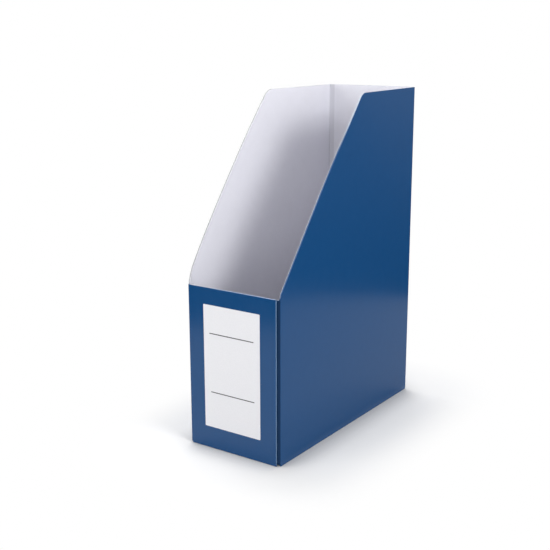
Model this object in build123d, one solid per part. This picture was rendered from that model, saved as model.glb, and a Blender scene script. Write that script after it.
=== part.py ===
"""Upright paperboard file box, folded from one laminated blank and glued along its front right seam.

Every wall and flap is three bonded sheets: a printed cover sheet outside, a board core and a white lining.
The walls turn on four upright creases, so the box folds flat, and its four bottom flaps swing up with it.
+X is the right side, -Y the front and +Z up. The origin lies on the desk, under the middle of the box.
"""

import math
import os

from build123d import *

# Outside of the standing box
WIDTH = 99.6
DEPTH = 238.0
HEIGHT = 318.0
FRONT_HEIGHT = 152.5
TOP_RUN = 109.0
TOP_CORNER_RADIUS = 12.0
SLOPE_FOOT_RADIUS = 2.5

# Laminated board
COVER_SHEET = 0.25
CORE = 1.1
LINING = 0.25
BOARD = COVER_SHEET + CORE + LINING
FOLD_RADIUS = 1.2
FOLD_LIMIT_SHARE = 0.95

# Glued seam at the front right corner
SEAM_GAP = 2.2
GLUE_FLAP_WIDTH = 20.0
GLUE_FLAP_TAPER = 10.0
GLUE_FLAP_INSET = 0.6
GLUE_FILM = 0.1

# Bottom flaps, stacked from the desk up
DESK_GAP = 0.4
STACK_GAP = 0.2
CREASE_GAP = 0.3
END_GAP = 0.8
LEFT_FLAP_REACH = 44.0
END_FLAP_REACH = 20.0
RELIEF_START = 12.0
RELIEF_SHARE = 0.68
END_FLAP_RELIEF = 20.0
OPEN_CORNER_INSET = 2.0
FLAP_CORNER_RADIUS = 10.0

# Index label on the front panel
LABEL_WIDTH = 61.8
LABEL_HEIGHT = 115.7
LABEL_LEFT = 17.4
LABEL_FOOT = 21.3
LABEL_PAPER = 0.12
LABEL_CORNER = 0.8

# Crease lines: the inner edges of the four upright corners
CREASE_X = WIDTH / 2 - BOARD
CREASE_Y = DEPTH / 2 - BOARD
SEAM_X = CREASE_X - SEAM_GAP
GLUED_Y = CREASE_Y - BOARD - GLUE_FILM
GLUE_FLAP_FOOT = BOARD + GLUE_FLAP_INSET
GLUE_FLAP_TOP = FRONT_HEIGHT - GLUE_FLAP_INSET
FLAP_STEP = BOARD + STACK_GAP

OUTWARD = {"right_side": (1, 0, 0), "left_side": (-1, 0, 0), "front": (0, -1, 0), "back": (0, 1, 0)}
UP = Vector(0, 0, 1)


def wall_plane(wall):
    """Plane on a wall's inner face: X along the wall, Y up, Z outwards."""
    normal = Vector(*OUTWARD[wall])
    origin = Vector(normal.X * CREASE_X, normal.Y * CREASE_Y, 0)
    return Plane(origin, x_dir=UP.cross(normal), z_dir=normal)


def flap_plane(wall, level):
    """Plane on a bottom flap's upper face: X along its crease, Y in from the wall, Z down."""
    normal = Vector(*OUTWARD[wall])
    height = DESK_GAP + BOARD + level * FLAP_STEP
    origin = Vector(normal.X * CREASE_X, normal.Y * CREASE_Y, height)
    return Plane(origin, x_dir=normal.cross(UP), z_dir=-UP)


def rounded_outline(points, radii):
    """Closed outline through points, with the corners named in radii rounded off."""
    outline = make_face(Polyline(*points, close=True))
    for corner, radius in radii.items():
        nearest = outline.vertices().sort_by_distance(Vector(*points[corner], 0))[0]
        outline = fillet(nearest, radius)
    return outline


def laminate(name, plane, outline):
    """Lining, core and cover sheet of one panel, built outwards from the plane."""
    sheets = {}
    offset = 0.0
    for layer, thickness in (("lining", LINING), ("board", CORE), ("cover_sheet", COVER_SHEET)):
        sheets[f"{name}_{layer}"] = plane.offset(offset) * extrude(outline, thickness)
        offset += thickness
    return sheets


def slope_height(ahead):
    """Height of the sloping cut that far ahead of the box's middle: it starts from the front panel's top."""
    rise = (HEIGHT - FRONT_HEIGHT) / (DEPTH - TOP_RUN)
    return FRONT_HEIGHT + (DEPTH / 2 - ahead) * rise


def side_outline(front_end):
    """Side wall profile: upright at the front, sloped up to the top edge, upright at the back.

    front_end is how far the wall reaches ahead of the box's middle.
    """
    points = [
        (-CREASE_Y, BOARD),
        (front_end, BOARD),
        (front_end, slope_height(front_end)),
        (TOP_RUN - DEPTH / 2, HEIGHT),
        (-CREASE_Y, HEIGHT),
    ]
    return points, {2: SLOPE_FOOT_RADIUS, 3: TOP_CORNER_RADIUS}


def mirrored(points):
    """The same outline seen from the other side, still running the same way round."""
    return [(-x, y) for x, y in points]


def make_walls():
    """The four upright walls."""
    sheets = {}
    left_points, radii = side_outline(CREASE_Y)
    right_points, radii = side_outline(GLUED_Y)
    sheets |= laminate("left_side", wall_plane("left_side"), rounded_outline(left_points, radii))
    sheets |= laminate("right_side", wall_plane("right_side"), rounded_outline(mirrored(right_points), radii))
    front = [(-CREASE_X, BOARD), (SEAM_X, BOARD), (SEAM_X, FRONT_HEIGHT), (-CREASE_X, FRONT_HEIGHT)]
    back = [(-CREASE_X, BOARD), (CREASE_X, BOARD), (CREASE_X, HEIGHT), (-CREASE_X, HEIGHT)]
    sheets |= laminate("front", wall_plane("front"), rounded_outline(front, {}))
    sheets |= laminate("back", wall_plane("back"), rounded_outline(back, {}))
    return sheets


def make_glue_flap():
    """Flap of the right side wall, glued behind the front panel, where its ends taper."""
    free_edge = CREASE_X - GLUE_FLAP_WIDTH
    points = [
        (free_edge, GLUE_FLAP_FOOT + GLUE_FLAP_TAPER),
        (SEAM_X, GLUE_FLAP_FOOT),
        (CREASE_X, GLUE_FLAP_FOOT),
        (CREASE_X, GLUE_FLAP_TOP),
        (SEAM_X, GLUE_FLAP_TOP),
        (free_edge, GLUE_FLAP_TOP - GLUE_FLAP_TAPER),
    ]
    plane = wall_plane("front").offset(-BOARD - GLUE_FILM)
    return laminate("glue_flap", plane, rounded_outline(points, {}))


def major_flap_outline(reach, open_end):
    """Bottom flap of a side wall: square where its corner opens, cut back where its corner closes."""
    closed_end = -CREASE_Y + RELIEF_START
    points = [
        (closed_end + RELIEF_SHARE * CREASE_GAP, CREASE_GAP),
        (open_end, CREASE_GAP),
        (open_end, reach),
        (closed_end + RELIEF_SHARE * reach, reach),
    ]
    return rounded_outline(points, {3: FLAP_CORNER_RADIUS})


def end_flap_outline(open_inset, open_slant):
    """Short bottom flap of the front or back wall, cut back at 45 degrees where its corner closes."""
    points = [
        (-CREASE_X + open_inset, CREASE_GAP),
        (CREASE_X - END_FLAP_RELIEF, CREASE_GAP),
        (CREASE_X - END_FLAP_RELIEF - END_FLAP_REACH, END_FLAP_REACH),
        (-CREASE_X + open_inset + open_slant, END_FLAP_REACH),
    ]
    return rounded_outline(points, {})


def make_bottom_flaps():
    """The four bottom flaps: the end flaps lowest, then the left one, and the full-width right one on top."""
    sheets = {}
    front = end_flap_outline(GLUE_FLAP_WIDTH + OPEN_CORNER_INSET, 0)
    back = end_flap_outline(OPEN_CORNER_INSET, END_FLAP_REACH)
    sheets |= laminate("front_base_flap", flap_plane("front", 0), front)
    sheets |= laminate("back_base_flap", flap_plane("back", 0), back)
    left = major_flap_outline(LEFT_FLAP_REACH, CREASE_Y - END_GAP)
    sheets |= laminate("left_base_flap", flap_plane("left_side", 1), left)
    right = major_flap_outline(2 * CREASE_X - END_GAP, GLUED_Y - END_GAP)
    sheets |= laminate("right_base_flap", flap_plane("right_side", 2), right)
    return sheets


def folded_corner(plane, length):
    """Bent board of one crease: a square bar from the plane's origin, with its outer corner rounded off."""
    points = [(0, 0), (BOARD, 0), (BOARD, BOARD), (0, BOARD)]
    radius = min(FOLD_RADIUS, BOARD * FOLD_LIMIT_SHARE)
    return plane * extrude(rounded_outline(points, {2: radius}), length)


def make_upright_creases():
    """The bent board at the four upright corners."""
    def crease(first_wall, inner_x, inner_y, foot, top):
        base = Plane(Vector(inner_x, inner_y, foot), x_dir=OUTWARD[first_wall], z_dir=UP)
        return folded_corner(base, top - foot)

    seam_top = slope_height(GLUED_Y + BOARD)
    return {
        "back_right_crease": crease("right_side", CREASE_X, CREASE_Y, BOARD, HEIGHT),
        "back_left_crease": crease("back", -CREASE_X, CREASE_Y, BOARD, HEIGHT),
        "front_left_crease": crease("left_side", -CREASE_X, -CREASE_Y, BOARD, FRONT_HEIGHT),
        "front_right_crease": crease("front", CREASE_X, -GLUED_Y, GLUE_FLAP_FOOT, seam_top),
    }


def make_bottom_folds():
    """The bent board along the foot of each wall, which stands on the desk."""
    def fold(wall, start, end):
        plane = wall_plane(wall)
        along = plane.x_dir
        base = Plane(plane.origin + along * start + UP * BOARD, x_dir=plane.z_dir, z_dir=along)
        return folded_corner(base, end - start)

    return {
        "right_side_bottom_fold": fold("right_side", -GLUED_Y, CREASE_Y),
        "left_side_bottom_fold": fold("left_side", -CREASE_Y, CREASE_Y),
        "front_bottom_fold": fold("front", -CREASE_X, SEAM_X),
        "back_bottom_fold": fold("back", -CREASE_X, CREASE_X),
    }


def make_label():
    """Paper index label stuck on the front panel, about in its middle."""
    middle = LABEL_LEFT + (LABEL_WIDTH - WIDTH) / 2
    plane = wall_plane("front").offset(BOARD)
    outline = RectangleRounded(LABEL_WIDTH, LABEL_HEIGHT, LABEL_CORNER)
    placed = Pos(middle, LABEL_FOOT + LABEL_HEIGHT / 2) * outline
    return {"index_label": plane * extrude(placed, LABEL_PAPER)}


def main():
    nodes = make_walls() | make_glue_flap() | make_bottom_flaps()
    nodes |= make_upright_creases() | make_bottom_folds() | make_label()
    os.makedirs("parts", exist_ok=True)
    for name, solid in nodes.items():
        export_step(solid, f"parts/{name}.step")
    slope = math.degrees(math.atan2(HEIGHT - FRONT_HEIGHT, DEPTH - TOP_RUN))
    print(f"{len(nodes)} nodes, board {BOARD:.2f} mm, side slope {slope:.1f} degrees")


main()
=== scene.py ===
# %% [markdown]
# # An upright file box, dressed in Blender
# The real thing is one blank of laminated board, creased, folded up and glued along its front right corner.
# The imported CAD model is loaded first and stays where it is. Everything below either gives one of its
# sheets a finish, or stands in for a sheet that bends in real life and so can't be a flat solid.

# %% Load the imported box
import math

import bmesh
import bpy
from mathutils import Matrix, Vector


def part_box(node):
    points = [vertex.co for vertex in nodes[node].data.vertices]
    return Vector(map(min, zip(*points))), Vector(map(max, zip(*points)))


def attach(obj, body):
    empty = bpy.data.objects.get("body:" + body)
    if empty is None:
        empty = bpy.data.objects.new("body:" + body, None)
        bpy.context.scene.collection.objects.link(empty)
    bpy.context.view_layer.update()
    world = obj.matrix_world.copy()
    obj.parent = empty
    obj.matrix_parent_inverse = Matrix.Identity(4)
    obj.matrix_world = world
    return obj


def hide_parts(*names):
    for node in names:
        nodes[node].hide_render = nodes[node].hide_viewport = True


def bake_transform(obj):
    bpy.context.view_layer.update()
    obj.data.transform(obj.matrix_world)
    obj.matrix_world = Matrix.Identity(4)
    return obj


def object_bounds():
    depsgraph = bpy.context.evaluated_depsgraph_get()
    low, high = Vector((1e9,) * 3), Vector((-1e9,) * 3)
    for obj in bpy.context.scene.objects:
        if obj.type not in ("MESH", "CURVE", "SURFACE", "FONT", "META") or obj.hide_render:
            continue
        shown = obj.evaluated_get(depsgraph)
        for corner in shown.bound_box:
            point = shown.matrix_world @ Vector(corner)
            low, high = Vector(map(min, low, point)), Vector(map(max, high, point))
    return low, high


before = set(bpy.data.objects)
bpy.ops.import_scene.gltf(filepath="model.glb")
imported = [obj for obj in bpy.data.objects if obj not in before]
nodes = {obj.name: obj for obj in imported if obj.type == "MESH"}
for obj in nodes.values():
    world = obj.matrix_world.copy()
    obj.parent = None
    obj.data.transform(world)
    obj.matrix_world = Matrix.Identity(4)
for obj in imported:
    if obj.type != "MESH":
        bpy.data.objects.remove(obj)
cad_low, cad_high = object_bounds()
print("CAD box in metres:", [round(b - a, 4) for a, b in zip(cad_low, cad_high)], "nodes:", len(nodes))

# %% [markdown]
# ## Camera
# The photograph looks down a little on the front right corner. Its edges were measured and fitted, which
# gave the eye point, the lens and three turns. One could turn the camera by eye until the corners agree;
# three named turns, one after the other, are easier to correct: round the box, then down, then a trace of
# roll.

# %% Place the camera
MM = 0.001
IMAGE_PIXELS = 550
FOCAL_PIXELS = 981.3
SENSOR = 36.0
NEAR_CLIP = 0.05
EYE = Vector((501.5, -772.8, 374.6)) * MM
LOOK_DOWN = 14.10
LOOK_ROUND = 34.89
ROLL = -0.14

camera_data = bpy.data.cameras.new("photo_camera")
camera_data.sensor_width = SENSOR
camera_data.lens = FOCAL_PIXELS / IMAGE_PIXELS * SENSOR
camera_data.clip_start = NEAR_CLIP
camera = bpy.data.objects.new("photo_camera", camera_data)
camera.location = EYE
around = Matrix.Rotation(math.radians(LOOK_ROUND), 3, "Z")
down = Matrix.Rotation(math.radians(90.0 - LOOK_DOWN), 3, "X")
roll = Matrix.Rotation(math.radians(ROLL), 3, "Z")
camera.rotation_euler = (around @ down @ roll).to_euler()
bpy.context.scene.collection.objects.link(camera)
bpy.context.scene.camera = camera
bpy.context.scene.view_settings.view_transform = "Standard"
print("lens in mm:", round(camera_data.lens, 2))

# %% [markdown]
# ## Small helpers
# Every mesh here is made in bmesh and then handed to an object at the origin, so that its place is in its
# vertices, as it is in the CAD nodes. Edges sharper than a fold keep their crispness, the rest shade
# smoothly.

# %% Turn a bmesh into an object
SHARP = math.radians(35.0)


def object_from(bm, name, finishes=()):
    """Object at the origin made from bm, with its finishes in slot order."""
    mesh = bpy.data.meshes.new(name)
    bm.to_mesh(mesh)
    bm.free()
    for face in mesh.polygons:
        face.use_smooth = True
    mesh.set_sharp_from_angle(angle=SHARP)
    for finish in finishes:
        mesh.materials.append(finish)
    made = bpy.data.objects.new(name, mesh)
    bpy.context.scene.collection.objects.link(made)
    return made


print("edges over", round(math.degrees(SHARP)), "degrees stay sharp")

# %% [markdown]
# Every finish is a small graph of shader nodes, and the same few steps come back in each: a noise, one span
# stretched onto another, two values combined, two colours mixed, a bump. One could wire them up by hand
# each time. A short function for each step is less to type, and the finishes below then read like recipes.

# %% Steps of a finish
MIX_FIRST, MIX_SECOND, MIX_RESULT = 6, 7, 2


def new_finish(name):
    """Node material with one Principled shader. Gives the material, its node tree and the shader."""
    finish = bpy.data.materials.new(name)
    finish.use_nodes = True
    tree = finish.node_tree
    return finish, tree, tree.nodes["Principled BSDF"]


def add(tree, kind, inputs=None, **settings):
    """New node of that kind, with its properties and the values of its named inputs set."""
    node = tree.nodes.new(kind)
    for key, value in settings.items():
        setattr(node, key, value)
    for key, value in (inputs or {}).items():
        node.inputs[key].default_value = value
    return node


def object_place(tree):
    """Place on the object, in metres from its origin."""
    return add(tree, "ShaderNodeTexCoord").outputs["Object"]


def noise(tree, place, scale, detail, roughness):
    """Cloudy value at a place."""
    node = add(tree, "ShaderNodeTexNoise", {"Scale": scale, "Detail": detail, "Roughness": roughness})
    tree.links.new(place, node.inputs["Vector"])
    return node.outputs["Fac"]


def combined(tree, operation, first, second):
    """Two values put through one operation of a Math node."""
    node = add(tree, "ShaderNodeMath", operation=operation)
    tree.links.new(first, node.inputs[0])
    tree.links.new(second, node.inputs[1])
    return node.outputs[0]


def spread(tree, value, source, target=(0.0, 1.0), **settings):
    """A value with the span source stretched onto the span target, and held at its ends."""
    ends = {"From Min": source[0], "From Max": source[1], "To Min": target[0], "To Max": target[1]}
    node = add(tree, "ShaderNodeMapRange", ends, **settings)
    tree.links.new(value, node.inputs["Value"])
    return node.outputs["Result"]


def mixed(tree, share, first, second):
    """Colour that goes from first to second as share goes from 0 to 1."""
    node = add(tree, "ShaderNodeMix", data_type="RGBA")
    node.inputs[MIX_FIRST].default_value = first
    node.inputs[MIX_SECOND].default_value = second
    tree.links.new(share, node.inputs["Factor"])
    return node.outputs[MIX_RESULT]


def bumped(tree, height, strength, distance):
    """Bump node on a height. Gives the node, so that a second bump can start from its normal."""
    node = add(tree, "ShaderNodeBump", {"Strength": strength, "Distance": distance})
    tree.links.new(height, node.inputs["Height"])
    return node


print("steps ready:", [step.__name__ for step in (noise, combined, spread, mixed, bumped)])

# %% [markdown]
# ## The blue cover sheet
# Outside, the box wears a printed paper under a thin gloss film. Up close the ink is a little uneven over
# the paper's fibres, and the film has a shallow ripple that breaks up reflections. One could paint that on
# an image; three noises on the object's own coordinates do the same at any size and run on round a fold.
# In the seam's groove the same recipe is mixed a second time: rougher, for a dull film, and darker, which is
# painted shade.

# %% Printed cover under gloss film
BLUE_INK = (0.0048, 0.0548, 0.1680, 1.0)
BLUE_INK_THIN = (0.0059, 0.0580, 0.1765, 1.0)
# The share below darkens the cover in the seam's groove: painted shade.
SEAM_SHADE = 0.45
COVER_FIBRES = 1300.0
COVER_MOTTLE = 120.0
FILM_RIPPLE = 30.0
COVER_CONTRAST = (0.12, 0.40)
NOISE_MIDDLE = (0.3, 0.7)
FILM_GLOSS = (0.15, 0.19)
FILM_SHINE = 0.36
CREASED_GLOSS = (0.45, 0.60)
CREASED_SHINE = 0.15


def tinted(colour, share):
    """A colour times share, with its alpha kept at 1."""
    return (*(channel * share for channel in colour[:3]), 1.0)


def printed_cover(name, share, gloss, shine):
    """Blue ink on paper under a film. share darkens the ink, gloss is the span of the film's roughness."""
    finish, tree, shader = new_finish(name)
    place = object_place(tree)
    fibres = noise(tree, place, COVER_FIBRES, detail=3.0, roughness=0.6)
    mottle = noise(tree, place, COVER_MOTTLE, detail=4.0, roughness=0.55)
    ripple = noise(tree, place, FILM_RIPPLE, detail=2.0, roughness=0.4)
    uneven = spread(tree, combined(tree, "MULTIPLY", fibres, mottle), COVER_CONTRAST)
    ink = mixed(tree, uneven, tinted(BLUE_INK, share), tinted(BLUE_INK_THIN, share))
    tree.links.new(ink, shader.inputs["Base Color"])
    tree.links.new(spread(tree, mottle, NOISE_MIDDLE, gloss), shader.inputs["Roughness"])
    broad = bumped(tree, ripple, strength=0.06, distance=0.4 * MM)
    fine = bumped(tree, fibres, strength=0.10, distance=0.06 * MM)
    tree.links.new(broad.outputs["Normal"], fine.inputs["Normal"])
    tree.links.new(fine.outputs["Normal"], shader.inputs["Normal"])
    shader.inputs["Specular IOR Level"].default_value = shine
    return finish


cover_finish = printed_cover("blue_printed_cover", 1.0, FILM_GLOSS, FILM_SHINE)
# The second, darker cover is painted shade for the seam's groove.
seam_shade_cover_finish = printed_cover("blue_cover_seam_shade", SEAM_SHADE, CREASED_GLOSS, CREASED_SHINE)
print("cover finishes:", cover_finish.name, seam_shade_cover_finish.name)

# %% [markdown]
# ## The white lining
# Inside is a plain white paper, faintly cool, with soft fibre clouds and almost no shine. It carries the
# broad light falling into the box, so its colour has to stay neutral and its bump very shallow. Where it is
# pressed into a crease it gets a second, darker mix, which is painted shade.

# %% White lining paper
LINING_WHITE = (0.764, 0.763, 0.822, 1.0)
LINING_SHADE = (0.739, 0.738, 0.795, 1.0)
# The share below darkens the lining in the corner valleys: painted shade.
CREASE_SHADE = 0.88
LINING_CLOUDS = 75.0
LINING_FIBRES = 1100.0
LINING_CONTRAST = (0.12, 0.38)
LINING_GLOSS = (0.62, 0.72)
LINING_SHINE = 0.25


def lining_paper(name, share):
    """White lining paper with fibre clouds. share darkens it."""
    finish, tree, shader = new_finish(name)
    place = object_place(tree)
    clouds = noise(tree, place, LINING_CLOUDS, detail=5.0, roughness=0.6)
    fibres = noise(tree, place, LINING_FIBRES, detail=3.0, roughness=0.65)
    uneven = spread(tree, combined(tree, "MULTIPLY", clouds, fibres), LINING_CONTRAST)
    colour = mixed(tree, uneven, tinted(LINING_SHADE, share), tinted(LINING_WHITE, share))
    tree.links.new(colour, shader.inputs["Base Color"])
    tree.links.new(spread(tree, fibres, NOISE_MIDDLE, LINING_GLOSS), shader.inputs["Roughness"])
    bump = bumped(tree, fibres, strength=0.15, distance=0.08 * MM)
    tree.links.new(bump.outputs["Normal"], shader.inputs["Normal"])
    shader.inputs["Specular IOR Level"].default_value = LINING_SHINE
    return finish


lining_finish = lining_paper("white_lining_paper", 1.0)
# The second, darker lining is painted shade for the corner valleys.
crease_shade_lining_finish = lining_paper("creased_lining_paper", CREASE_SHADE)
print("lining finishes:", lining_finish.name, crease_shade_lining_finish.name)

# %% [markdown]
# ## The board's cut edge
# The core only shows where a blade went through: pale, pressed plies of pulp lying along the sheet, with a
# ragged fibre nap. The plies need a direction, so there is one finish for each way a sheet can face: the
# noise is squeezed across the sheet's thickness and left long along it. Each finish has two tones and mixes
# them along one direction: up the slopes of the side walls, and from left to right along the front panel's
# top. The side wall's edge turns from dark blue low down to pale at the top, and the front panel's top from
# white at the left to blue at the right. The left wall's edge is greyer and darker lower down, and the left
# cover's own cut edge is dark grey: both painted shade. At the seam the front panel's edge is darker and
# bluer. The seam's edge and the left cover's cut edge each get a mix of one tone.

# %% Pressed board, seen on its edge
RIGHT_TONES = ((0.085, 0.155, 0.310, 1.0), (0.660, 0.760, 0.880, 1.0))
# The left wall's edge tones are greyer than the others and darker lower down: painted shade.
LEFT_SHADED_TONES = ((0.530, 0.530, 0.575, 1.0), (0.710, 0.720, 0.745, 1.0))
END_TONES = ((0.980, 0.985, 1.000, 1.0), (0.480, 0.660, 0.950, 1.0))
BASE_TONES = ((0.720, 0.780, 0.880, 1.0), (0.820, 0.850, 0.900, 1.0))
SEAM_EDGE_TONE = (0.175, 0.290, 0.465, 1.0)
# The left cover's cut edge is painted dark grey, as shade.
CUT_COVER_SHADE = (0.100, 0.100, 0.110, 1.0)
RIGHT_SPAN = (0.268, 0.315)
LEFT_SPAN = (0.150, 0.310)
END_SPAN = (-0.046, -0.005)
PLIES_ALONG = 140.0
PLIES_ACROSS = 4200.0
BOARD_NAP = 2300.0
BOARD_CONTRAST = (0.12, 0.36)
BOARD_SHADE = (0.76, 1.0)
BOARD_ROUGHNESS = 0.92
BOARD_SHINE = 0.1


def pressed_board(name, axis, tones, along=2, span=LEFT_SPAN):
    """Board core with its plies stacked along axis (0, 1 or 2). Its tone changes along another, over span."""
    finish, tree, shader = new_finish(name)
    place = object_place(tree)
    stretch = [PLIES_ALONG] * 3
    stretch[axis] = PLIES_ACROSS
    squeeze = add(tree, "ShaderNodeMapping", {"Scale": stretch})
    tree.links.new(place, squeeze.inputs["Vector"])
    plies = noise(tree, squeeze.outputs["Vector"], scale=1.0, detail=4.0, roughness=0.6)
    nap = noise(tree, place, BOARD_NAP, detail=3.0, roughness=0.7)
    fibres = combined(tree, "MULTIPLY", plies, nap)

    where = add(tree, "ShaderNodeSeparateXYZ")
    tree.links.new(place, where.inputs[0])
    tone = mixed(tree, spread(tree, where.outputs[along], span), *tones)
    shaded = add(tree, "ShaderNodeVectorMath", operation="SCALE")
    tree.links.new(tone, shaded.inputs[0])
    tree.links.new(spread(tree, fibres, BOARD_CONTRAST, BOARD_SHADE), shaded.inputs["Scale"])
    tree.links.new(shaded.outputs["Vector"], shader.inputs["Base Color"])

    bump = bumped(tree, fibres, strength=0.5, distance=0.1 * MM)
    tree.links.new(bump.outputs["Normal"], shader.inputs["Normal"])
    shader.inputs["Roughness"].default_value = BOARD_ROUGHNESS
    shader.inputs["Specular IOR Level"].default_value = BOARD_SHINE
    return finish


board_finishes = [
    pressed_board("side_board", 0, RIGHT_TONES, 2, RIGHT_SPAN),
    pressed_board("end_board", 1, END_TONES, 0, END_SPAN),
    pressed_board("base_board", 2, BASE_TONES),
]
# The left wall's edge wears painted shade.
shaded_left_board_finish = pressed_board("left_side_board", 0, LEFT_SHADED_TONES)
seam_edge_finish = pressed_board("seam_board_edge", 1, (SEAM_EDGE_TONE, SEAM_EDGE_TONE))
# The left cover's cut edge wears painted shade.
shaded_cut_cover_finish = pressed_board("cut_cover_edge_shade", 0, (CUT_COVER_SHADE, CUT_COVER_SHADE))
print("board finishes:", [finish.name for finish in board_finishes])
print("single edges:", shaded_left_board_finish.name, seam_edge_finish.name, shaded_cut_cover_finish.name)

# %% [markdown]
# ## Label paper and ink
# The label is a smooth, bright, uncoated paper stuck on the front. It is finished apart from the lining: a
# little warmer and finer. The printed rules are dark grey, with the ink slightly broken over the fibres.

# %% Label paper and ruled ink
LABEL_WHITE = (0.750, 0.750, 0.775, 1.0)
LABEL_SHADE = (0.720, 0.720, 0.744, 1.0)
LABEL_FIBRES = 900.0
LABEL_ROUGHNESS = 0.6
RULE_INK = (0.030, 0.032, 0.040, 1.0)
RULE_INK_THIN = (0.060, 0.062, 0.074, 1.0)
RULE_FIBRES = 1600.0
RULE_ROUGHNESS = 0.5
PAPER_CONTRAST = (0.33, 0.62)
PAPER_SHINE = 0.3


def paper(name, dark, light, scale, roughness):
    """Plain paper or dry ink: two close colours over fine fibres."""
    finish, tree, shader = new_finish(name)
    fibres = noise(tree, object_place(tree), scale, detail=5.0, roughness=0.62)
    colour = mixed(tree, spread(tree, fibres, PAPER_CONTRAST), dark, light)
    tree.links.new(colour, shader.inputs["Base Color"])
    bump = bumped(tree, fibres, strength=0.12, distance=0.05 * MM)
    tree.links.new(bump.outputs["Normal"], shader.inputs["Normal"])
    shader.inputs["Roughness"].default_value = roughness
    shader.inputs["Specular IOR Level"].default_value = PAPER_SHINE
    return finish


label_finish = paper("label_paper", LABEL_SHADE, LABEL_WHITE, LABEL_FIBRES, LABEL_ROUGHNESS)
ink_finish = paper("rule_ink", RULE_INK, RULE_INK_THIN, RULE_FIBRES, RULE_ROUGHNESS)
print("label finishes:", label_finish.name, ink_finish.name)

# %% [markdown]
# ## Finishes on the flat sheets
# The flat walls and flaps are already the right shape as CAD solids, so they only change material. Each
# name says which sheet it is, and a sheet's thinnest direction says which way its plies are stacked.

# %% Dress the CAD sheets
def thin_axis(node):
    """The direction in which a sheet is thinnest."""
    low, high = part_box(node)
    spans = [b - a for a, b in zip(low, high)]
    return spans.index(min(spans))


def finish_for(node):
    """The finish that a CAD node wears."""
    if node == "left_side_board":
        return shaded_left_board_finish
    if node.endswith("_board"):
        return board_finishes[thin_axis(node)]
    if node.endswith("_lining"):
        return lining_finish
    if node == "index_label":
        return label_finish
    # The glue flap's cover lies in the seam's groove and wears the darker cover: painted shade.
    if node == "glue_flap_cover_sheet":
        return seam_shade_cover_finish
    return cover_finish


for name, node in nodes.items():
    node.data.materials.clear()
    node.data.materials.append(finish_for(name))
print("dressed", len(nodes), "CAD nodes")

# %% [markdown]
# ## Side walls that spring outwards
# Board this thin doesn't stay flat once it is folded: along the sloping opening, where nothing holds it,
# each side wall bows outwards by a few millimetres. A simulation would be guesswork, so the CAD sheet is
# copied, merged and cut into a fine grid, and its points are pushed out by one smooth function. That
# function is zero along the creases and the foot, and all three sheets of a wall share it, so they stay
# bonded.

# %% How much of a side wall is free
WALL_LOW, WALL_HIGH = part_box("left_side_board")
PANEL_LOW, PANEL_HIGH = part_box("front_cover_sheet")
BACK_Y = WALL_HIGH[1]
FRONT_Y = WALL_LOW[1]
FOOT_Z = WALL_LOW[2]
TOP_EDGE_FRONT = 10.0 * MM
SLOPE_FOOT = Vector((PANEL_LOW[1], PANEL_HIGH[2]))
SLOPE_TOP = Vector((TOP_EDGE_FRONT, WALL_HIGH[2]))
SLOPE_LENGTH = (SLOPE_TOP - SLOPE_FOOT).length
SLOPE_ALONG = (SLOPE_TOP - SLOPE_FOOT) / SLOPE_LENGTH
SLOPE_INWARD = Vector((SLOPE_ALONG[1], -SLOPE_ALONG[0]))
FRONT_HOLD = 10.0 * MM
LEAST_REACH = 0.1 * MM
FADE_POWER = 1.5


def held(y, z):
    """How free the wall is, 0 at a crease or the foot and 1 along the slope, and the share of the slope."""
    point = Vector((y, z)) - SLOPE_FOOT
    share = point.dot(SLOPE_ALONG) / SLOPE_LENGTH
    depth = max(0.0, point.dot(SLOPE_INWARD))
    start = SLOPE_FOOT + SLOPE_ALONG * SLOPE_LENGTH * share
    to_back = (BACK_Y - start[0]) / SLOPE_INWARD[0]
    to_foot = (start[1] - FOOT_Z) / -SLOPE_INWARD[1]
    reach = max(LEAST_REACH, min(to_back, to_foot))
    inside = max(0.0, 1.0 - depth / reach) ** FADE_POWER
    front = min(1.0, max(0.0, (y - FRONT_Y) / FRONT_HOLD))
    return inside * (1.0 - (1.0 - front) ** 2), share


print("slope length in mm:", round(SLOPE_LENGTH / MM, 1))

# %% [markdown]
# The two walls don't spring alike. The left one has a long belly halfway up its slope. The right one stays
# nearly flat, but its top corner springs out. Both are smooth humps along the slope, given by where the
# hump is, how far it reaches as a share of the slope, and how high it is.

# %% How far a side wall bows
LEFT_BOW = 6.0 * MM
LEFT_MIDDLE = 0.52
LEFT_REACH = 0.62
LEFT_FULLNESS = 2.5
RIGHT_BOW = 0.2 * MM
RIGHT_MIDDLE = 0.5
RIGHT_REACH = 0.85
RIGHT_SPLAY = 3.0 * MM
SPLAY_REACH = 0.30


def left_bow(y, z):
    """Outward shift of the left wall: a long belly with its middle halfway up the slope."""
    free, share = held(y, z)
    from_middle = min(1.0, abs(share - LEFT_MIDDLE) / LEFT_REACH)
    return LEFT_BOW * free * (1.0 - from_middle ** LEFT_FULLNESS)


def right_bow(y, z):
    """Outward shift of the right wall: nearly flat, with its top corner sprung out."""
    free, share = held(y, z)
    from_middle = min(1.0, abs(share - RIGHT_MIDDLE) / RIGHT_REACH)
    belly = RIGHT_BOW * math.cos(math.pi / 2 * from_middle) ** 2
    below_corner = max(0.0, 1.0 - share)
    return free * (belly + RIGHT_SPLAY * math.exp(-((below_corner / SPLAY_REACH) ** 2)))


for share in (0.05, 0.3, 0.5, 0.7, 0.9, 1.0):
    place = SLOPE_FOOT + SLOPE_ALONG * SLOPE_LENGTH * share
    bows = [round(bow(*place) / MM, 2) for bow in (left_bow, right_bow)]
    print("slope share", share, "bow of the left and right wall in mm", bows)

# %% [markdown]
# The copies are merged and dissolved back to flat faces, and parallel cutting planes lay a grid of points
# over them. A subdivision would follow the CAD triangles, which run anyhow; straight cuts give even
# squares. A sheet's cut edge may wear a finish of its own: only the left cover's does, which shows grey
# round the slope.

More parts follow.
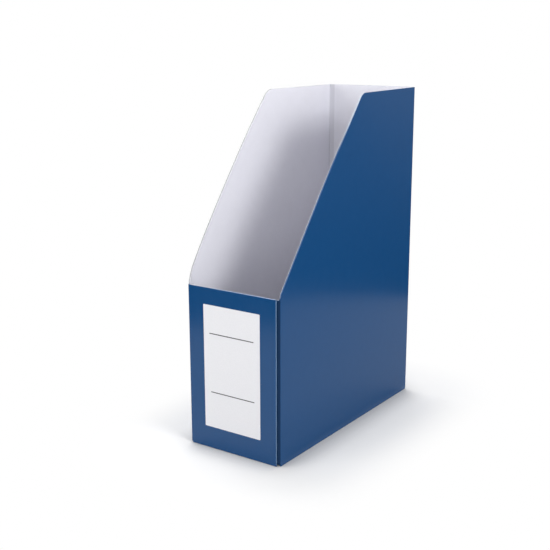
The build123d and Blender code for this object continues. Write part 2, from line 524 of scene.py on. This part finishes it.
# %% Cut and bow the side sheets
GRID = 8.0 * MM
MERGE = 0.001 * MM
FLAT_ANGLE = 0.01
FACING = 0.9


def flat_copy(node):
    """Bmesh of a CAD sheet with its triangles merged into flat faces."""
    bm = bmesh.new()
    bm.from_mesh(nodes[node].data)
    bmesh.ops.remove_doubles(bm, verts=bm.verts[:], dist=MERGE)
    bmesh.ops.dissolve_limit(bm, angle_limit=FLAT_ANGLE, verts=bm.verts[:], edges=bm.edges[:])
    return bm


def cut_grid(bm, axis, low, high):
    """Cuts everything in bm by evenly spaced planes across axis."""
    normal = Vector((0.0, 0.0, 0.0))
    normal[axis] = 1.0
    count = round((high - low) / GRID)
    for step in range(1, count):
        place = normal * (low + (high - low) * step / count)
        everything = bm.verts[:] + bm.edges[:] + bm.faces[:]
        bmesh.ops.bisect_plane(bm, geom=everything, dist=MERGE, plane_co=place, plane_no=normal)


def bowed_sheet(node, outward, bow):
    """A copy of one sheet of a side wall, bowed outwards."""
    bm = flat_copy(node)
    low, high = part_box(node)
    for axis in (1, 2):
        cut_grid(bm, axis, low[axis], high[axis])
    for face in bm.faces:
        face.material_index = 0 if abs(face.normal.x) > FACING else 1
    for vert in bm.verts:
        vert.co.x += outward * bow(vert.co.y, vert.co.z)
    bm.normal_update()
    flat = finish_for(node)
    # The left cover's cut edge wears the dark edge finish: painted shade.
    cut = shaded_cut_cover_finish if node == "left_side_cover_sheet" else flat
    return object_from(bm, node.replace("_side_", "_wall_"), [flat, cut])


for layer, slot in (("cover_sheet", "blue_cover"), ("board", "board"), ("lining", "white_lining")):
    for wall, outward, bow in (("left", -1.0, left_bow), ("right", 1.0, right_bow)):
        sheet = bowed_sheet(f"{wall}_side_{layer}", outward, bow)
        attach(sheet, f"{wall}_wall")
        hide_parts(f"{wall}_side_{layer}")
        print(sheet.name, "faces", len(sheet.data.polygons))

# %% [markdown]
# ## Creases that bend
# At each upright corner the board is bent, not cut: outside the cover runs round a small radius, and inside
# the lining is pressed into a shallow valley, painted greyer as shade. Both are drawn as a short outline at
# the foot of the corner and pulled up to full height. A hook-shaped profile swept along a curve would do
# too, but an extrusion keeps the ends square. At the seam the cut top isn't level: it turns down from the
# slope into the glue flap.

# %% Pull up an outline, and turn down the seam's top
CREASE_LOW, CREASE_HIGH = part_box("back_right_crease")
BOARD = CREASE_HIGH[0] - CREASE_LOW[0]
FLAP_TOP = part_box("glue_flap_board")[1][2]
SEAM_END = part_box("right_side_board")[0][1]
NEAR = 0.01 * MM
SEAM_TOP = max(v.co.z for v in nodes["right_side_board"].data.vertices if v.co.y < SEAM_END + NEAR)
UPRIGHT = 0.99


def pulled_up(bm, points, foot, top, finish):
    """Extrudes the outline through points from foot to top. Its faces wear finish."""
    verts = [bm.verts.new((x, y, foot)) for x, y in points]
    base = bm.faces.new(verts)
    pulled = bmesh.ops.extrude_face_region(bm, geom=[base])
    lifted = [item for item in pulled["geom"] if isinstance(item, bmesh.types.BMVert)]
    bmesh.ops.translate(bm, verts=lifted, vec=(0.0, 0.0, top - foot))
    for vert in verts + lifted:
        for face in vert.link_faces:
            face.material_index = finish


def upright_edge(bm, x, y):
    """The upright edge of bm nearest to that place."""
    uprights = [e for e in bm.edges if (e.verts[0].co - e.verts[1].co).normalized().z ** 2 > UPRIGHT]
    return min(uprights, key=lambda e: (e.verts[0].co.xy - Vector((x, y))).length)


def turn_down(bm, top, pivot, a, b):
    """Lowers bm's top by its angle round the pivot, from the slope's foot in direction a to the flap in b."""
    for vert in [v for v in bm.verts if v.co.z > top - MERGE]:
        out = vert.co.xy - pivot
        turned = math.atan2(out.dot(b), out.dot(a)) / (math.pi / 2) if out.length > MERGE else 0.5
        vert.co.z = SEAM_TOP + (FLAP_TOP - SEAM_TOP) * turned


print("board in mm:", round(BOARD / MM, 2))
print("seam's top in mm: from", round(SEAM_TOP / MM, 1), "down to", round(FLAP_TOP / MM, 1))

# %% [markdown]
# The outer edge of a bend is rounded with a bevel, its top shows board, and at the seam the side in the
# groove is dull. The seam has no valley, because a bottom flap folds close past that corner.

# %% Make the four upright creases
VALLEY_FIRST = 5.4 * MM
VALLEY_SECOND = 1.2 * MM
VALLEY_RISE = 0.2 * MM
VALLEY_FOOT = 10.0 * MM
BEND_RADIUS = 1.2 * MM
SEAM_RADIUS = 0.5 * MM
GROOVE_FACING = 0.7
OUTSIDE, VALLEY, CUT_TOP, GROOVE = range(4)
RIGHT, LEFT, FRONT, BACK = (1, 0), (-1, 0), (0, -1), (0, 1)


def crease(node, normal_a, normal_b, radius, groove):
    """Bent board of one corner, from wall a, facing normal_a, to wall b, whose side is finished groove."""
    low, high = (Vector(corner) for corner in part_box(node))
    a = Vector(normal_a)
    b = Vector(normal_b)
    middle = (low + high) / 2
    pivot = middle.xy - (a + b) * BOARD / 2
    bm = bmesh.new()

    def at(along_a, along_b):
        return pivot + a * along_a + b * along_b

    skin = [at(0, 0), at(BOARD, 0), at(BOARD, BOARD), at(0, BOARD)]
    pulled_up(bm, skin, low.z, high.z, OUTSIDE)
    outer = upright_edge(bm, *skin[2])
    bmesh.ops.bevel(bm, geom=[outer], offset=radius, offset_type="OFFSET", affect="EDGES",
                    segments=6, profile=0.5, material=-1)
    seam = node == "front_right_crease"
    if not seam:
        valley = [at(0, 0), at(0, -VALLEY_FIRST), at(-VALLEY_RISE, -VALLEY_RISE), at(-VALLEY_SECOND, 0)]
        pulled_up(bm, valley, VALLEY_FOOT, high.z, VALLEY)
    bmesh.ops.recalc_face_normals(bm, faces=bm.faces[:])
    for face in bm.faces:
        if face.normal.z > FACING:
            face.material_index = CUT_TOP
        elif face.material_index == OUTSIDE and face.normal.xy.dot(b) > GROOVE_FACING:
            face.material_index = GROOVE
    if seam:
        turn_down(bm, high.z, pivot, a, b)
    # The valley wears the darker lining, and the seam's groove side the darker cover: both painted shade.
    finishes = [cover_finish, crease_shade_lining_finish, board_finishes[0], groove]
    made = object_from(bm, node.replace("_crease", "_bend"), finishes)
    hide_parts(node)
    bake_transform(made)
    print(made.name, "faces", len(made.data.polygons))


crease("back_right_crease", RIGHT, BACK, BEND_RADIUS, cover_finish)
crease("back_left_crease", BACK, LEFT, BEND_RADIUS, cover_finish)
crease("front_left_crease", LEFT, FRONT, BEND_RADIUS, cover_finish)
crease("front_right_crease", RIGHT, FRONT, SEAM_RADIUS, seam_shade_cover_finish)

# %% [markdown]
# ## The front panel's glued edge
# The front panel's core and lining are copied so that their one face at the seam can wear the darker edge
# finish.
# A second material on one face is the plainest way to say that one edge of a sheet differs from the others.

# %% Darken the edge at the seam
for layer, slot in (("board", "board"), ("lining", "white_lining")):
    bm = flat_copy(f"front_{layer}")
    for face in bm.faces:
        face.material_index = 1 if face.normal.x > FACING else 0
    panel = object_from(bm, f"front_panel_{layer}", [finish_for(f"front_{layer}"), seam_edge_finish])
    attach(panel, "front_wall")
    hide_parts(f"front_{layer}")
    print(panel.name, "faces", len(panel.data.polygons))

# %% [markdown]
# ## Ruled lines on the label
# Two thin lines are printed across the label for writing on. Ink has no thickness to speak of, but a line
# in the paper's colour would need a texture tied to one place, so each is a strip of ink a fiftieth of a
# millimetre proud of the paper, with its ends rounded by a bevel. Each rule is given by its left end, its
# right end and its height, in millimetres from the label's lower left corner.

# %% Print the rules
RULES = ((6.4, 55.2, 89.4), (7.2, 55.7, 34.0))
RULE_WIDTH = 0.90 * MM
RULE_ROUNDING = 0.45 * RULE_WIDTH
INK_RISE = 0.02 * MM
label_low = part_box("index_label")[0]
for number, (left, right, height) in enumerate(RULES, 1):
    bm = bmesh.new()
    made = bmesh.ops.create_cube(bm, size=1.0)
    size = Vector(((right - left) * MM, INK_RISE, RULE_WIDTH))
    across = label_low[0] + (left + right) / 2 * MM
    centre = Vector((across, label_low[1] - INK_RISE / 2, label_low[2] + height * MM))
    bmesh.ops.scale(bm, vec=size, verts=made["verts"])
    bmesh.ops.translate(bm, vec=centre, verts=made["verts"])
    ends = [e for e in bm.edges if abs((e.verts[0].co - e.verts[1].co).y) > INK_RISE / 2]
    bmesh.ops.bevel(bm, geom=ends, offset=RULE_ROUNDING, offset_type="OFFSET", affect="EDGES",
                    segments=3, profile=0.5, material=-1)
    rule = object_from(bm, f"label_rule_{number}", [ink_finish])
    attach(rule, "front_wall")
    print(rule.name, "length in mm", round(right - left, 1))

# %% [markdown]
# ## Floor and background
# The box stands on a white sweep that runs out to pure white. A bright lamp would bleach the box as well, so
# the floor is ordinary white paper close to the box, where it takes the shadow, and fades into a plain white
# glow further out, for the camera and for reflections only. A few vector nodes measure how far a point lies
# from the box's footprint.

# %% Fade to white away from the box
WHITE = (1.0, 1.0, 1.0, 1.0)
WHITE_FROM = 0.03
WHITE_AT = 0.10


def seen_directly(tree):
    """Value that is 1 for camera, glossy and transmission rays."""
    path = add(tree, "ShaderNodeLightPath").outputs
    either = combined(tree, "MAXIMUM", path["Is Camera Ray"], path["Is Glossy Ray"])
    return combined(tree, "MAXIMUM", either, path["Is Transmission Ray"])


def far_from_box(tree):
    """Value that is 0 close to the box's footprint and 1 far from it."""
    mirrored = add(tree, "ShaderNodeVectorMath", operation="ABSOLUTE")
    tree.links.new(object_place(tree), mirrored.inputs[0])
    past = add(tree, "ShaderNodeVectorMath", {1: (cad_high[0], cad_high[1], 0.0)}, operation="SUBTRACT")
    tree.links.new(mirrored.outputs["Vector"], past.inputs[0])
    outside = add(tree, "ShaderNodeVectorMath", {1: (0.0, 0.0, 0.0)}, operation="MAXIMUM")
    tree.links.new(past.outputs["Vector"], outside.inputs[0])
    apart = add(tree, "ShaderNodeVectorMath", operation="LENGTH")
    tree.links.new(outside.outputs["Vector"], apart.inputs[0])
    return spread(tree, apart.outputs["Value"], (WHITE_FROM, WHITE_AT), interpolation_type="SMOOTHSTEP")


print("floor turns white from", WHITE_FROM, "to", WHITE_AT, "m off the box")

# %% [markdown]
# The paper close to the box is lifted by a little glow of its own, as the light of a big white room would
# lift it. Right at the foot of the box and under it nothing lifts the floor, so the contact stays dark: two
# occlusion nodes, one with a short and one with a long reach, look for the box itself. A dark patch painted
# on the floor would be simpler, but this one goes with the box when it is folded.

# %% Lay the floor
FLOOR_SIZE = 6.0
FLOOR_WHITE = (0.80, 0.80, 0.805, 1.0)
FLOOR_ROUGHNESS = 0.9
FLOOR_LIFT = 0.30
CONTACT_REACH = 0.03
CONTACT_SPAN = (0.50, 0.98)
INSIDE_REACH = 0.25
INSIDE_SPAN = (0.25, 0.45)


def open_sky(tree, reach):
    """Share of the sky that nothing within reach hides from a point."""
    return add(tree, "ShaderNodeAmbientOcclusion", {"Distance": reach}).outputs["AO"]


def sweep_paper():
    """White floor near the box, white glow far from it."""
    finish, tree, shader = new_finish("white_sweep")
    shader.inputs["Base Color"].default_value = FLOOR_WHITE
    shader.inputs["Roughness"].default_value = FLOOR_ROUGHNESS
    shader.inputs["Specular IOR Level"].default_value = 0.0
    direct = seen_directly(tree)
    clear = spread(tree, open_sky(tree, CONTACT_REACH), CONTACT_SPAN, (0.0, FLOOR_LIFT))
    outdoors = spread(tree, open_sky(tree, INSIDE_REACH), INSIDE_SPAN)
    lift = combined(tree, "MULTIPLY", combined(tree, "MULTIPLY", clear, outdoors), direct)
    tree.links.new(lift, shader.inputs["Emission Strength"])
    shader.inputs["Emission Color"].default_value = WHITE
    glow = add(tree, "ShaderNodeEmission", {"Color": WHITE, "Strength": 1.0})
    mix = add(tree, "ShaderNodeMixShader")
    tree.links.new(combined(tree, "MULTIPLY", far_from_box(tree), direct), mix.inputs["Fac"])
    tree.links.new(shader.outputs["BSDF"], mix.inputs[1])
    tree.links.new(glow.outputs["Emission"], mix.inputs[2])
    tree.links.new(mix.outputs["Shader"], tree.nodes["Material Output"].inputs["Surface"])
    return finish


bm = bmesh.new()
bmesh.ops.create_grid(bm, x_segments=4, y_segments=4, size=FLOOR_SIZE / 2)
floor = object_from(bm, "white_sweep_floor", [sweep_paper()])
print("floor", FLOOR_SIZE, "m across")

# %% [markdown]
# ## Light
# A white room, brighter at its sides than overhead, gives the even light of a product photograph. The
# camera and the gloss see it plain white; only what it lights up gets the brighter sides.

# %% Light the room
ROOM_TOP = 0.26
ROOM_SIDES = 1.98
SIDE_BAND = 0.45

world = bpy.data.worlds.new("white_room")
world.use_nodes = True
bpy.context.scene.world = world
room = world.node_tree
lit = room.nodes["Background"]
lit.inputs["Color"].default_value = WHITE
way = add(room, "ShaderNodeTexCoord")
split = add(room, "ShaderNodeSeparateXYZ")
room.links.new(way.outputs["Generated"], split.inputs[0])
band = spread(room, split.outputs["Z"], (0.0, SIDE_BAND), (ROOM_SIDES, ROOM_TOP),
              interpolation_type="SMOOTHSTEP")
room.links.new(band, lit.inputs["Strength"])
plain = add(room, "ShaderNodeBackground", {"Color": WHITE, "Strength": 1.0})
choose = add(room, "ShaderNodeMixShader")
room.links.new(seen_directly(room), choose.inputs["Fac"])
room.links.new(lit.outputs["Background"], choose.inputs[1])
room.links.new(plain.outputs["Background"], choose.inputs[2])
room.links.new(choose.outputs["Shader"], room.nodes["World Output"].inputs["Surface"])
print("room strength: sides", ROOM_SIDES, "top", ROOM_TOP)

# %% [markdown]
# Three softboxes shape that light. The one at the right shines over the near wall onto the white lining,
# where the wall's edge throws a soft shadow: the less tall the lamp is, the crisper that shadow, and the
# wider it is, the softer the one on the floor. One at the front left lifts the front, and one above the
# back left lays the shadow at the right foot. A single sun would be quicker, but its shadows have hard
# edges.

# %% Set up the softboxes
RIGHT_LAMP = ((1.30, -0.35, 0.79), (0.0, 0.0, 0.18), (0.6, 0.4), 10.4)
LEFT_LAMP = ((-0.70, -1.40, 0.60), (0.0, 0.0, 0.18), (1.0, 1.0), 8.8)
TOP_LAMP = ((-0.5, 0.4, 1.45), (0.0, 0.0, 0.15), (0.9, 0.9), 8.5)


def softbox(name, place, target, size, power):
    """Area lamp at place, facing target. size is its width and height in metres, power is in watts."""
    lamp = bpy.data.lights.new(name, "AREA")
    lamp.shape = "RECTANGLE"
    lamp.size, lamp.size_y = size
    lamp.energy = power
    made = bpy.data.objects.new(name, lamp)
    made.location = place
    made.rotation_euler = (Vector(target) - Vector(place)).to_track_quat("-Z", "Y").to_euler()
    bpy.context.scene.collection.objects.link(made)


softbox("front_right_softbox", *RIGHT_LAMP)
softbox("front_left_softbox", *LEFT_LAMP)
softbox("top_softbox", *TOP_LAMP)
print("softboxes:", [lamp.name for lamp in bpy.data.lights])

# %% [markdown]
# ## What the gloss reflects
# Glossy film shows whatever it faces. In the photograph the upper part of the blue faces something dark:
# the black cloths that a studio hangs up, called flags. A dark ring that only reflections can see plays
# that part, darkest at the floor and fading upwards. On the right the floor itself reflects too strongly,
# so a sheet of grey gel lies over it, again for reflections only. Painting these shades on the box would be
# wrong as soon as it turns.

# %% Hang the flags and lay the gel
FLAG_RADIUS = 0.50
FLAG_HEIGHT = 0.55
FLAG_DARK = 0.02
FLAG_SIDES = 64
GEL_PASSES = (0.55, 0.55, 0.55, 1.0)
GEL_SIZE = (0.44, 0.90, 1.0)
GEL_PLACE = (0.275, 0.15, 0.0003)


def flag_cloth():
    """Dark cloth that gets lighter with the square of its height."""
    finish, tree, shader = new_finish("flag_cloth")
    shader.inputs["Base Color"].default_value = (0.0, 0.0, 0.0, 1.0)
    shader.inputs["Roughness"].default_value = 1.0
    shader.inputs["Specular IOR Level"].default_value = 0.0
    shader.inputs["Emission Color"].default_value = WHITE
    split = add(tree, "ShaderNodeSeparateXYZ")
    tree.links.new(object_place(tree), split.inputs[0])
    rise = spread(tree, split.outputs["Z"], (0.0, FLAG_HEIGHT))
    square = combined(tree, "MULTIPLY", rise, rise)
    tree.links.new(spread(tree, square, (0.0, 1.0), (FLAG_DARK, 1.0)), shader.inputs["Emission Strength"])
    return finish


def grey_gel():
    """Clear sheet that holds back part of the light."""
    finish, tree, shader = new_finish("grey_gel")
    gel = add(tree, "ShaderNodeBsdfTransparent", {"Color": GEL_PASSES})
    tree.links.new(gel.outputs["BSDF"], tree.nodes["Material Output"].inputs["Surface"])
    tree.nodes.remove(shader)
    return finish


bm = bmesh.new()
bmesh.ops.create_cone(bm, cap_ends=False, segments=FLAG_SIDES, radius1=FLAG_RADIUS, radius2=FLAG_RADIUS,
                      depth=FLAG_HEIGHT)
bmesh.ops.translate(bm, verts=bm.verts[:], vec=(0.0, 0.0, FLAG_HEIGHT / 2))
bmesh.ops.reverse_faces(bm, faces=bm.faces[:])
flags = object_from(bm, "studio_flags", [flag_cloth()])

bm = bmesh.new()
bmesh.ops.create_grid(bm, x_segments=1, y_segments=1, size=0.5)
bmesh.ops.scale(bm, verts=bm.verts[:], vec=GEL_SIZE)
bmesh.ops.translate(bm, verts=bm.verts[:], vec=GEL_PLACE)
card = object_from(bm, "grey_gel_card", [grey_gel()])

for stage_piece in (flags, card):
    stage_piece.visible_camera = False
    stage_piece.visible_diffuse = False
    stage_piece.visible_shadow = False
    stage_piece.visible_transmission = False
    stage_piece.visible_volume_scatter = False
print("flags at", FLAG_RADIUS, "m")
